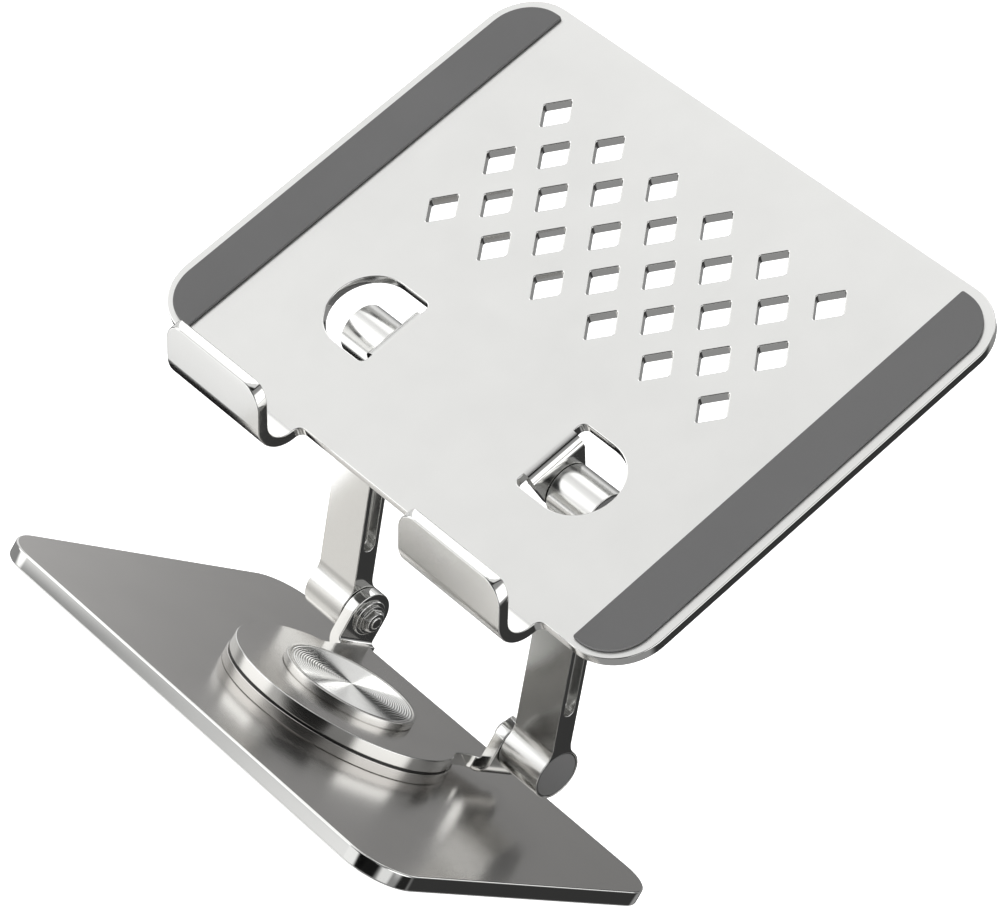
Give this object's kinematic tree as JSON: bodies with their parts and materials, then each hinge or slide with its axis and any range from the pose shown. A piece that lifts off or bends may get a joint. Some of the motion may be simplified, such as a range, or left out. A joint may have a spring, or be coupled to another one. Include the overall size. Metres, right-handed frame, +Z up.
{
  "type": "laptop stand",
  "caption": "Folding laptop stand: heavy base, turntable with two hinge ears, two slotted arms and a vented, tilted tray with front hooks.",
  "frame": {"origin": "middle of the flat underside of the foot sheet, on the desk plane", "axes": "+X to the right along the base's long side, +Y to the back, +Z up; the hooks of the tray face -Y"},
  "size_m": [0.25, 0.163, 0.2524],
  "materials": {
    "brushed_steel": "fine satin plate with a bright polished edge",
    "polished_steel": "satin top, polished sides",
    "silver_aluminium": "bead-blasted, silver anodised, cut edges polished",
    "turned_aluminium": "diamond-turned rings that throw a double fan of light",
    "plated_steel": "bright zinc plate",
    "pad_rubber": "matt grey silicone",
    "foot_rubber": "matt dark silicone",
    "grey_plastic": "fine matt dark grey plastic",
    "black_plastic": "smooth black bearing plastic"
  },
  "bodies": {
    "base": {"base_plate": "brushed_steel", "base_foot": "foot_rubber", "swivel_collar": "brushed_steel", "slip_ring": "black_plastic", "swivel_bolt": "plated_steel", "swivel_washer": "plated_steel", "swivel_spring": "plated_steel", "swivel_nut": "plated_steel", "collar_screw_1": "plated_steel", "collar_screw_2": "plated_steel", "collar_screw_3": "plated_steel", "collar_screw_4": "plated_steel"},
    "swivel": {"turntable": "polished_steel", "medallion_cap": "silver_aluminium", "medallion_insert": "turned_aluminium", "lower_bolt_left": "plated_steel", "lower_bolt_right": "plated_steel", "lower_spring_left": "plated_steel", "lower_spring_right": "plated_steel", "lower_washer_left": "plated_steel", "lower_washer_right": "plated_steel", "lower_nut_left": "plated_steel", "lower_nut_right": "plated_steel"},
    "arms": {"arm_left": "silver_aluminium", "arm_right": "silver_aluminium", "lower_cap_left": "grey_plastic", "lower_cap_right": "grey_plastic", "upper_cap_left": "grey_plastic", "upper_cap_right": "grey_plastic"},
    "tray": {"tray": "silver_aluminium", "pad_left": "pad_rubber", "pad_right": "pad_rubber", "upper_bolt_left": "plated_steel", "upper_bolt_right": "plated_steel", "upper_spring_left": "plated_steel", "upper_spring_right": "plated_steel", "upper_washer_left": "plated_steel", "upper_washer_right": "plated_steel", "upper_nut_left": "plated_steel", "upper_nut_right": "plated_steel"}
  },
  "joints": [
    {"name": "base_swivel", "type": "hinge", "parent": "base", "child": "swivel", "pos_m": [0, 0.002, 0.0165], "axis": [0, 0, 1], "continuous": true},
    {"name": "arm_tilt", "type": "hinge", "parent": "swivel", "child": "arms", "pos_m": [0, 0.0474, 0.0272], "axis": [1, 0, 0], "range_deg": [-30, 30]},
    {"name": "tray_tilt", "type": "hinge", "parent": "arms", "child": "tray", "pos_m": [0, -0.0083, 0.12666], "axis": [1, 0, 0], "range_deg": [-98, 45]}
  ]
}
